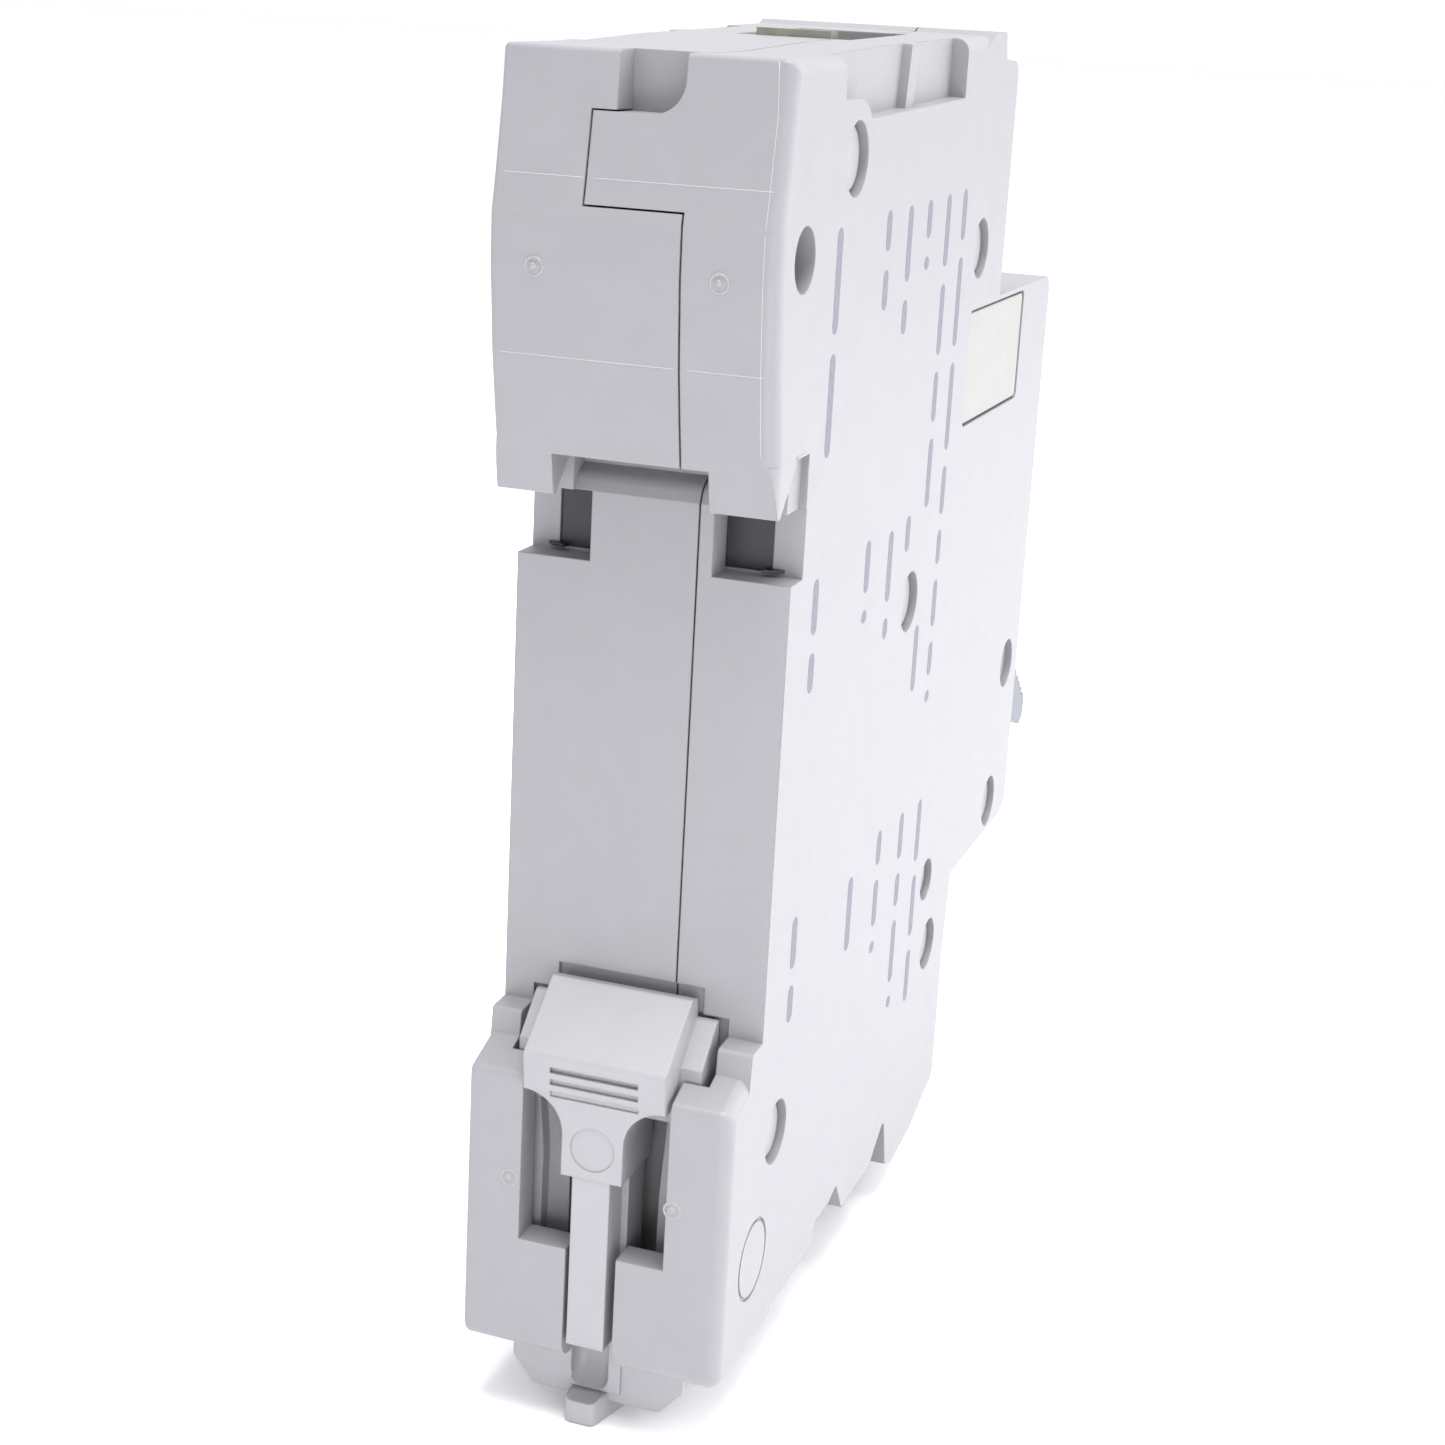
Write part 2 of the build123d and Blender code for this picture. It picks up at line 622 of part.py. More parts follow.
# ------------------------------------------------------------ magnetic release
def coil_yoke():
    """The U-shaped steel frame of the coil, open at the top."""
    body = box(-5.5, 4.7, COIL_FRONT - 1.5, COIL_BACK + 1.5, 49.5, 50.9)
    body += box(-5.5, 5.5, COIL_FRONT - 1.5, COIL_FRONT - 0.1, 49.5, 63.0)
    body += box(-5.5, 5.5, COIL_BACK + 0.1, COIL_BACK + 1.5, 49.5, 63.0)
    body -= rod_y(0, COIL_HEIGHT, 1.3, COIL_FRONT - 3, COIL_FRONT + 1)
    return body


def coil_bobbin():
    """The plastic spool inside the winding."""
    body = rod_y(0, COIL_HEIGHT, 4.6, COIL_FRONT, COIL_BACK)
    body += rod_y(0, COIL_HEIGHT, 6.4, COIL_FRONT, COIL_FRONT + 0.9)
    body += rod_y(0, COIL_HEIGHT, 6.4, COIL_BACK - 0.9, COIL_BACK)
    body -= rod_y(0, COIL_HEIGHT, 3.2, COIL_FRONT - 1, COIL_BACK + 1)
    return body


def coil_winding():
    """Seven turns of thick copper wire, led up to the terminal and down to the contact."""
    length = COIL_BACK - COIL_FRONT - 1.8 - 2 * WIRE_RADIUS - 0.2
    start = COIL_FRONT + 0.9 + WIRE_RADIUS + 0.1
    pitch = length / WINDING_TURNS
    winding = coil_y(COIL_HEIGHT, start, WINDING_RADIUS, WIRE_RADIUS, pitch, WINDING_TURNS)
    winding += rod_z(WINDING_RADIUS, start, WIRE_RADIUS, COIL_HEIGHT, 66.0)
    winding += rod_z(WINDING_RADIUS, start + length, WIRE_RADIUS, 49.4, COIL_HEIGHT)
    return winding


def fixed_core():
    """The steel pole piece at the front of the bobbin."""
    body = rod_y(0, COIL_HEIGHT, 3.1, COIL_FRONT + 0.05, -30.2)
    return body - rod_y(0, COIL_HEIGHT, 1.3, -40, -20)


def plunger():
    """The steel slug with the striker pin that passes through the fixed core."""
    slug = rod_y(0, COIL_HEIGHT, 2.95, -26.5, -19.4)
    slug -= rod_y(0, COIL_HEIGHT, 2.55, -27, -23.1)
    return slug + rod_y(0, COIL_HEIGHT, 1.15, -42.0, -20.5)


def plunger_spring():
    """The return spring between the fixed core and the slug."""
    return coil_y(COIL_HEIGHT, -29.9, 2.1, 0.22, 0.66, 5)


# -------------------------------------------------------------- thermal release
def bimetal_strip():
    """The flat bimetal blade that bends forward as it heats."""
    return box(-6.8, -3.2, -46.8, -46.0, 18.15, 54.0)


def bimetal_support():
    """The steel bracket under the bimetal blade."""
    body = box(-6.9, -2.2, -46.9, -29.8, 16.85, 18.15)
    body += box(-2.2, 5.8, -37.6, -29.8, 16.85, 18.15)
    return body - rod_z(4.4, -35.6, 1.0 + RUNNING_CLEARANCE, 10, 30)


def calibration_screw():
    """The small screw that sets the bimetal's load."""
    body = rod_z(4.4, -35.6, 1.0, 15.0, 19.9)
    body += rod_z(4.4, -35.6, 1.7, 14.0, 15.2)
    return body - box(4.1, 4.7, -38, -33, 13.5, 14.5)


def flexible_braid():
    """The copper braid from the bimetal blade to the contact arm."""
    path = FilletPolyline(
        (-5.0, -45.15, 33.2),
        (-5.0, -43.4, 29.2),
        (-3.6, -39.6, 28.2),
        (-0.3, -37.2, 29.2),
        (0.0, -37.0, 32.3),
        radius=(1.5, 1.5, 1.3),
    )
    start = Plane(path @ 0, z_dir=path % 0)
    return sweep(start * Circle(0.8), path)


def trip_lever():
    """The lever that either release tips to unlatch the mechanism."""
    y, z = TRIP_PIVOT
    points = [
        (y - 2.0, z),
        (-48.6, 59.8, 0.5),
        (-45.6, 60.2, 0.4),
        (-45.2, 56.2, 0.4),
        (y + 2.2, z + 1.0),
    ]
    body = slab(points, -1.6, 1.6) + rod_x(TRIP_PIVOT, 2.4, -2.3, 2.3)
    body += slab([(y - 1.6, z + 1.2), (-48.6, 54.6), (-47.2, 54.6), (y + 1.6, z + 0.6)], -6.8, 1.6)
    body += slab([(y + 1.0, z - 0.5), (y + 2.3, z - 1.0), (-47.2, 44.6, 0.3), (-48.6, 44.4, 0.3)], -1.6, 1.6)
    return body - rod_x(TRIP_PIVOT, 1.0 + RUNNING_CLEARANCE, -9, 9)


def trip_pin():
    """The steel pin the trip lever turns on."""
    return rod_x(TRIP_PIVOT, 1.0, -PIN_END, PIN_END)


def trip_spring():
    """The torsion spring that holds the trip lever against its stop."""
    return coil_x(TRIP_PIVOT, 2.9, 1.6, 0.25, 0.56, 4)


# ---------------------------------------------------------- the indicator flag
def indicator_flag():
    """The two-colour flag that shows behind the window whether the contacts are open."""
    y, z = FLAG_PIVOT
    front = rod_x(FLAG_PIVOT, 6.9, -2.3, 2.3) - rod_x(FLAG_PIVOT, 5.9, -3, 3)
    rays = [polar(FLAG_PIVOT, 12.0, angle) for angle in (116, 145, 174, 202)]
    front &= slab([FLAG_PIVOT] + rays, -3, 3)
    arm = slab([(y - 5.6, z + 4.0), (y - 6.3, z + 1.2), (y, z - 1.2), (y, z + 1.2)], -1.0, 1.0)
    body = front + arm + rod_x(FLAG_PIVOT, 1.7, -2.3, 2.3)
    return body - rod_x(FLAG_PIVOT, 0.8 + RUNNING_CLEARANCE, -9, 9)


def flag_pin():
    """The thin steel pin the flag turns on."""
    return rod_x(FLAG_PIVOT, 0.8, -PIN_END, PIN_END)


# -------------------------------------------------------------------- arc chute
def arc_plates():
    """Steel splitter plates, each with a notch that draws the arc in."""
    notch = [(0.0, -14.0), (-2.4, -20.5), (2.4, -20.5)]
    plates = []
    for k in range(ARC_PLATES):
        rise = ARC_FIRST_HEIGHT + ARC_PITCH * k
        plate = box(-5.6, 5.6, -19.0, -5.2, rise, rise + ARC_PLATE_THICKNESS)
        cut = extrude(Plane.XY.offset(rise - 1) * outline(notch), 3)
        plates.append(plate - cut)
    return Compound(plates)


def arc_chute_holder():
    """The fibre tray round the plates, slotted inside to carry each of them."""
    top = ARC_FIRST_HEIGHT + ARC_PITCH * ARC_PLATES
    body = box(-6.7, -5.3, -18.6, -4.4, ARC_FIRST_HEIGHT - 0.6, top)
    body += box(5.3, 6.7, -18.6, -4.4, ARC_FIRST_HEIGHT - 0.6, top)
    body += box(-6.7, 6.7, -5.5, -4.4, ARC_FIRST_HEIGHT - 0.6, top)
    gap = 0.03
    for k in range(ARC_PLATES):
        rise = ARC_FIRST_HEIGHT + ARC_PITCH * k
        body -= box(-5.63, 5.63, -20.0, -5.17, rise - gap, rise + ARC_PLATE_THICKNESS + gap)
    return body


def arc_runner():
    """The strip that leads the arc from the arm's end to under the chute."""
    points = [(-36.0, 20.4), (-36.0, 21.4), (-22.0, 21.4), (-5.0, 21.9), (-5.0, 20.9), (-22.0, 20.4)]
    return slab(points, -2.8, 2.8)


# -------------------------------------------------------------------- terminals
def terminal_screw(height):
    """A terminal screw: cross-slotted head, neck and ridged shank."""
    body = rod_y(0, height, SCREW_HEAD_RADIUS, SCREW_HEAD_FRONT, SCREW_HEAD_BACK)
    body = fillet(body.edges().sort_by(Axis.Y)[0], 0.4)
    body += rod_y(0, height, SCREW_RADIUS, SCREW_HEAD_BACK, -31.1)
    for ridge in range(13):
        y = -42.0 + 0.8 * ridge
        groove = rod_y(0, height, 3.0, y, y + 0.4) - rod_y(0, height, SCREW_RADIUS - 0.25, y - 1, y + 1)
        body -= groove
    body -= box(-2.5, 2.5, -47, -44.5, height - 0.45, height + 0.45)
    body -= box(-0.45, 0.45, -47, -44.5, height - 2.5, height + 2.5)
    return body


def terminal_cage(height, tongue):
    """The rising cage: a steel ring that pulls the wire against the terminal plate."""
    low = height - CAGE_HEIGHT / 2
    high = height + CAGE_HEIGHT / 2
    body = box(-CAGE_HALF_WIDTH, CAGE_HALF_WIDTH, CAGE_FRONT, CAGE_BACK, low, high)
    body -= box(-CAGE_HALF_WIDTH + 1.2, CAGE_HALF_WIDTH - 1.2, CAGE_FRONT + 2.0, CAGE_BACK - 1.5, low - 1, high + 1)
    body -= rod_y(0, height, SCREW_RADIUS + RUNNING_CLEARANCE, CAGE_FRONT - 1, CAGE_FRONT + 3)
    if tongue:
        body += box(-2.6, 2.6, CAGE_BACK - 1.5, CAGE_BACK, high - 0.5, 84.75)
    return body


def upper_terminal_plate():
    """The bent plate from the upper terminal to the coil."""
    front = PLATE_BACK - PLATE_THICKNESS
    points = [
        (front, 80.6),
        (PLATE_BACK, 80.6),
        (PLATE_BACK, 67.3),
        (-20.0, 67.3),
        (-20.0, 66.0),
        (front, 66.0, 1.0),
    ]
    return slab(points, -3.2, 3.2) + box(3.2, 6.3, -32.0, -28.5, 66.0, 67.3)


def lower_terminal_plate():
    """The upright plate from the lower terminal to the bimetal's bracket."""
    front = PLATE_BACK - PLATE_THICKNESS
    return box(-3.2, 3.2, front, PLATE_BACK, 4.6, 16.85)


# ------------------------------------------------------------------------ output
os.makedirs("parts", exist_ok=True)
case_main, case_cover = case_shells()
PIECES = {
    "case_main": case_main,
    "case_cover": case_cover,
    "case_dowels": dowels(),
    "indicator_window": indicator_window(),
    "chamber_liner": chamber_liner(),
    "din_clip": din_clip(),
    "toggle": toggle(),
    "toggle_pin": toggle_pin(),
    "toggle_spring": toggle_spring(),
    "link_wire": link_wire(),
    "carrier_pin": carrier_pin(),
    "contact_carrier": contact_carrier(),
    "contact_arm": contact_arm(),
    "moving_contact_tip": moving_contact_tip(),
    "contact_spring": contact_spring(),
    "fixed_contact_bar": fixed_contact_bar(),
    "fixed_contact_tip": fixed_contact_tip(),
    "coil_yoke": coil_yoke(),
    "coil_bobbin": coil_bobbin(),
    "coil_winding": coil_winding(),
    "fixed_core": fixed_core(),
    "plunger": plunger(),
    "plunger_spring": plunger_spring(),
    "bimetal_strip": bimetal_strip(),
    "bimetal_support": bimetal_support(),
    "calibration_screw": calibration_screw(),
    "flexible_braid": flexible_braid(),
    "trip_lever": trip_lever(),
    "trip_pin": trip_pin(),
    "trip_spring": trip_spring(),
    "indicator_flag": indicator_flag(),
    "flag_pin": flag_pin(),
    "arc_plates": arc_plates(),
    "arc_chute_holder": arc_chute_holder(),
    "arc_runner": arc_runner(),
    "upper_terminal_plate": upper_terminal_plate(),
    "lower_terminal_plate": lower_terminal_plate(),
    "upper_terminal_screw": terminal_screw(UPPER_SCREW_HEIGHT),
    "lower_terminal_screw": terminal_screw(LOWER_SCREW_HEIGHT),
    "upper_terminal_cage": terminal_cage(UPPER_SCREW_HEIGHT, True),
    "lower_terminal_cage": terminal_cage(LOWER_SCREW_HEIGHT, False),
}
for name, shape in PIECES.items():
    save(shape, name)
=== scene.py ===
"""The looks of a one-pole circuit breaker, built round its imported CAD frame."""
import json
import math
import random

import bmesh
import bpy
from mathutils import Matrix, Vector


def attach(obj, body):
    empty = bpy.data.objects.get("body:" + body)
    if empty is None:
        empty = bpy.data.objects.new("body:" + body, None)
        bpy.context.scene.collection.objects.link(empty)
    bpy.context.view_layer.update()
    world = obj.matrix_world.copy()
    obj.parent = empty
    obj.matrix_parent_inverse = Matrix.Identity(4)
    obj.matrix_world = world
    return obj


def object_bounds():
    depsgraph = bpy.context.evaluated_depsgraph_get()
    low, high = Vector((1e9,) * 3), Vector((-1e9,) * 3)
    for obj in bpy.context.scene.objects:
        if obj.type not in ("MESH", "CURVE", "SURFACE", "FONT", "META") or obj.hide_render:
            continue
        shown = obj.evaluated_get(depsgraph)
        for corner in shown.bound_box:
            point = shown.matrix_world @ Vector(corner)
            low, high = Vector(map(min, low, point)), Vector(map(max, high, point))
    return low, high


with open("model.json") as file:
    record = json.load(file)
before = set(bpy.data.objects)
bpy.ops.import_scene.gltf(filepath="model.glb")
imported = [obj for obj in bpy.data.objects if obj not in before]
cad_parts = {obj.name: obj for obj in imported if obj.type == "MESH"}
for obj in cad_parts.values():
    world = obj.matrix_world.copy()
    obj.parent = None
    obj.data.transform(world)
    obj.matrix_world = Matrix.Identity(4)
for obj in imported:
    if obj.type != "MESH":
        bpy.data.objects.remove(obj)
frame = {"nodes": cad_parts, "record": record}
CAD_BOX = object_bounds()
NODES = frame["nodes"]
random.seed(7)

# ---- the casing, in millimetres ----
MM = 0.001
RAIL_AXIS = 42.5
HALF_WIDTH = 9.0
FLAG_SPLIT_HEIGHT = 52.2

# ---- moulded marks on the back: heights are above the casing's foot ----
GATE_MARKS = {
    "gate_mark_upper_left": (6.14, 70.94),
    "gate_mark_upper_right": (-5.34, 70.92),
    "gate_mark_lower_left": (5.99, 12.4),
    "gate_mark_lower_right": (-5.32, 12.54),
}
GATE_RING = [
    (0.64, -0.05), (0.62, 0.02), (0.58, 0.045), (0.53, 0.045), (0.49, 0.02),
    (0.46, -0.02), (0.46, -0.06), (0.64, -0.06), (0.64, -0.05),
]
GATE_NIB = [(0.001, 0.10), (0.10, 0.12), (0.18, 0.07), (0.22, 0.02), (0.27, -0.03), (0.001, -0.06)]
GATE_NIB_SHIFT = 0.05
GATE_ROUGHNESS = 0.012

WITNESS_UPPER = 76.2
WITNESS_LOWER = 65.75
WITNESS_LINES = {
    "witness_line_upper_left": [(8.9, WITNESS_UPPER), (3.35, WITNESS_UPPER)],
    "witness_line_upper_right": [(2.9, WITNESS_UPPER), (-8.2, WITNESS_UPPER)],
    "witness_line_lower_left": [(8.9, WITNESS_LOWER), (-2.7, WITNESS_LOWER)],
    "witness_line_lower_right": [(-3.2, WITNESS_LOWER), (-8.2, WITNESS_LOWER)],
    "witness_line_upright": [(-7.95, 61.0), (-7.95, 80.4), (-7.75, 83.2)],
}
WITNESS_WIDTH = 0.08
WITNESS_RISE = 0.014
WITNESS_ROOT = 0.03
WITNESS_STEP = 0.6

# ---- plates in the coupling windows: corners are (y, height) ----
KNOCK_OUT_CORNERS = [(-58.4, 56.7), (-41.0, 56.7), (-41.0, 65.0), (-58.4, 65.0)]
KNOCK_OUT_FACE = 8.92
KNOCK_OUT_THICKNESS = 0.38
KNOCK_OUT_CORNER = 0.5
KNOCK_OUT_EDGE_DROP = 0.05
KNOCK_OUT_EDGE_TUCK = 0.1
CORNER_STEPS = 6

# ---- bars in place of print: (y, top, bottom) of each row ----
PRINT_ROWS = [
    (-5.8, 73.6, 58.4), (-5.4, 52.0, 43.6), (-5.5, 29.4, 20.6), (-16.6, 74.0, 66.1),
    (-21.8, 74.0, 65.5), (-26.7, 74.1, 69.4), (-31.8, 74.2, 37.0), (-36.4, 74.3, 36.2),
    (-17.0, 52.3, 46.6), (-22.7, 51.9, 44.2), (-27.1, 52.2, 49.0), (-18.5, 27.9, 22.4),
    (-25.5, 29.2, 19.7), (-31.7, 28.7, 13.0), (-37.0, 28.2, 11.5),
]
BAR_WIDTH = 1.15
BAR_LENGTHS = (2.6, 3.6, 5.0, 6.4)
BAR_SPACING = 1.2
SHORTEST_BAR = 0.8
BAR_PROUD = 0.012
BAR_ROOT = 0.02
BAR_OUTLINE_POINTS = 16

# ---- camera, light and ground ----
CAMERA_AZIMUTH = math.radians(198.672)
CAMERA_ELEVATION = math.radians(16.443)
CAMERA_ROLL = math.radians(3.109)
CAMERA_PLACE = (-51.677, 137.754, 86.412)
CAMERA_LENS = 61.01
CAMERA_SENSOR = 36.0
LIGHT_TARGET = Vector((0.0, -0.02, 0.0))
SKY_COLOUR = (0.985, 0.98, 1.0, 1.0)
SKY_STRENGTH = 1.07
FLOOR_HALF_SIZE = 6.0
FLOOR_COLOUR = (0.95, 0.945, 0.965, 1.0)

# ---- shaders ----
CASE_GREY = (0.235, 0.2319, 0.2456)
# The clip is the casing grey made 1.21 times lighter: painted light, standing in for the top light
# that misses its head.
CLIP_GREY_PAINTED_LIGHT = (0.285, 0.2813, 0.2978)
FLAG_GREEN = (0.02, 0.28, 0.07)
FLAG_RED = (0.55, 0.02, 0.015)
WINDOW_TINTS = (0.86, 0.92, 0.93), (0.93, 0.96, 0.96)
PLASTIC_IOR = 1.49
METAL_EDGE = 0.06
BEVEL_SAMPLES = 4
NOISE_LOW = 0.3
NOISE_HIGH = 0.7
MIX_FIRST_COLOUR = 6
MIX_SECOND_COLOUR = 7
MIX_COLOUR_RESULT = 2


# ------------------------------------------------------------------ small helpers
def place(x, y, height):
    """A point given in millimetres with its height above the casing's foot, in metres."""
    return Vector((x, y, height - RAIL_AXIS)) * MM


def mesh_piece(name, bm, body, material, smooth=True):
    """Turns a bmesh in metres into a named piece that rides on a body."""
    bmesh.ops.recalc_face_normals(bm, faces=bm.faces)
    mesh = bpy.data.meshes.new(name)
    bm.to_mesh(mesh)
    bm.free()
    for face in mesh.polygons:
        face.use_smooth = smooth
    piece = bpy.data.objects.new(name, mesh)
    bpy.context.scene.collection.objects.link(piece)
    mesh.materials.append(material)
    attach(piece, body)
    return piece


def bridge(bm, low, high):
    """Closes the band between two rings of as many vertices."""
    for i, vertex in enumerate(low):
        j = (i + 1) % len(low)
        bm.faces.new((vertex, low[j], high[j], high[i]))


# ---------------------------------------------------------------------- materials
def new_material(name):
    """An empty node material with its Principled shader."""
    material = bpy.data.materials.new(name)
    material.use_nodes = True
    tree = material.node_tree
    shader = tree.nodes["Principled BSDF"]
    return material, tree, shader


def node(tree, kind, values=(), **settings):
    """A shader node with input values by name and settings by attribute."""
    made = tree.nodes.new(kind)
    for attribute, value in settings.items():
        setattr(made, attribute, value)
    for key, value in dict(values).items():
        made.inputs[key].default_value = value
    return made


def object_coordinates(tree):
    """Object coordinates in millimetres."""
    source = node(tree, "ShaderNodeTexCoord")
    scaled = node(tree, "ShaderNodeVectorMath", operation="SCALE")
    scaled.inputs["Scale"].default_value = 1000.0
    tree.links.new(source.outputs["Object"], scaled.inputs[0])
    return scaled.outputs[0]


def noise(tree, coordinates, scale, detail=3.0, roughness=0.55):
    """Noise whose scale is in cycles per millimetre."""
    values = {"Scale": scale, "Detail": detail, "Roughness": roughness}
    made = node(tree, "ShaderNodeTexNoise", values)
    tree.links.new(coordinates, made.inputs["Vector"])
    return made.outputs["Fac"]


def stretched(tree, coordinates, factors):
    """Coordinates scaled along each axis, for brushed and drawn finishes."""
    made = node(tree, "ShaderNodeVectorMath", operation="MULTIPLY")
    made.inputs[1].default_value = factors
    tree.links.new(coordinates, made.inputs[0])
    return made.outputs[0]


def spread(tree, factor, low, high):
    """A noise, which stays near a half, spread over the range from low to high."""
    made = node(tree, "ShaderNodeMapRange")
    made.inputs["From Min"].default_value = NOISE_LOW
    made.inputs["From Max"].default_value = NOISE_HIGH
    made.inputs["To Min"].default_value = low
    made.inputs["To Max"].default_value = high
    tree.links.new(factor, made.inputs["Value"])
    return made.outputs["Result"]


def two_tone(tree, factor, first, second):
    """A colour between the first and the second by a factor."""
    made = node(tree, "ShaderNodeMix", data_type="RGBA")
    made.inputs[MIX_FIRST_COLOUR].default_value = (*first, 1.0)
    made.inputs[MIX_SECOND_COLOUR].default_value = (*second, 1.0)
    tree.links.new(factor, made.inputs["Factor"])
    return made.outputs[MIX_COLOUR_RESULT]


def bump(tree, height, distance, strength=1.0, normal=None):
    """A bump node whose distance is in millimetres."""
    made = node(tree, "ShaderNodeBump", {"Strength": strength, "Distance": distance * MM})
    tree.links.new(height, made.inputs["Height"])
    if normal is not None:
        tree.links.new(normal, made.inputs["Normal"])
    return made.outputs["Normal"]


def softened_edges(tree, radius):
    """The normal of a surface whose edges look rounded, to a radius in millimetres."""
    rounded = node(tree, "ShaderNodeBevel", samples=BEVEL_SAMPLES)
    rounded.inputs["Radius"].default_value = radius * MM
    return rounded.outputs["Normal"]


def shade(colour, factor):
    """A colour made lighter or darker."""
    return tuple(min(1.0, channel * factor) for channel in colour)


def plastic(name, colour, roughness, grain, tone, edge, mottling=0.35):
    """Moulded plastic: spark-eroded grain, faint flow mottling and softened edges."""
    material, tree, shader = new_material(name)
    coordinates = object_coordinates(tree)
    flow = noise(tree, coordinates, mottling, detail=4.0)
    mottled = spread(tree, flow, 0.0, 1.0)
    tint = two_tone(tree, mottled, shade(colour, 1 - tone), shade(colour, 1 + tone))
    tree.links.new(tint, shader.inputs["Base Color"])
    erosion = noise(tree, coordinates, 7.0, detail=5.0, roughness=0.65)
    gloss = spread(tree, erosion, roughness - 0.05, roughness + 0.06)
    tree.links.new(gloss, shader.inputs["Roughness"])
    waves = bump(tree, flow, 0.02, 0.5, softened_edges(tree, edge))
    tree.links.new(bump(tree, erosion, grain, 1.0, waves), shader.inputs["Normal"])
    shader.inputs["IOR"].default_value = PLASTIC_IOR
    return material


def metal(name, colour, roughness, brushing, scratch, stain=None):
    """Plated or bare metal: drawing lines along one axis, blotched colour and roughness."""
    material, tree, shader = new_material(name)
    coordinates = object_coordinates(tree)
    cloud = noise(tree, coordinates, 0.45, detail=4.0)
    tint = two_tone(tree, spread(tree, cloud, 0.0, 1.0), stain or shade(colour, 0.72), colour)
    tree.links.new(tint, shader.inputs["Base Color"])
    lines = noise(tree, stretched(tree, coordinates, brushing), 5.0)
    gloss = spread(tree, lines, roughness - 0.08, roughness + 0.12)
    tree.links.new(gloss, shader.inputs["Roughness"])
    scratched = bump(tree, lines, scratch, 1.0, softened_edges(tree, METAL_EDGE))
    tree.links.new(scratched, shader.inputs["Normal"])
    shader.inputs["Metallic"].default_value = 1.0
    return material


def clear_plastic(name):
    """A clear window with faint moulding waves."""
    material, tree, shader = new_material(name)
    coordinates = object_coordinates(tree)
    waves = noise(tree, coordinates, 0.6, detail=2.0)
    tree.links.new(bump(tree, waves, 0.01), shader.inputs["Normal"])
    tint = two_tone(tree, waves, *WINDOW_TINTS)
    tree.links.new(tint, shader.inputs["Base Color"])
    shader.inputs["Roughness"].default_value = 0.06
    shader.inputs["Transmission Weight"].default_value = 1.0
    shader.inputs["IOR"].default_value = PLASTIC_IOR
    return material


def flag_paint(name):
    """Green below the flag's middle and red above it. The pose decides which half shows."""
    material, tree, shader = new_material(name)
    coordinates = object_coordinates(tree)
    split = node(tree, "ShaderNodeSeparateXYZ")
    tree.links.new(coordinates, split.inputs[0])
    above = node(tree, "ShaderNodeMath", operation="GREATER_THAN")
    tree.links.new(split.outputs["Z"], above.inputs[0])
    above.inputs[1].default_value = FLAG_SPLIT_HEIGHT - RAIL_AXIS
    tint = two_tone(tree, above.outputs[0], FLAG_GREEN, FLAG_RED)
    tree.links.new(tint, shader.inputs["Base Color"])
    grain = noise(tree, coordinates, 9.0)
    tree.links.new(spread(tree, grain, 0.3, 0.42), shader.inputs["Roughness"])
    tree.links.new(bump(tree, grain, 0.008), shader.inputs["Normal"])
    return material


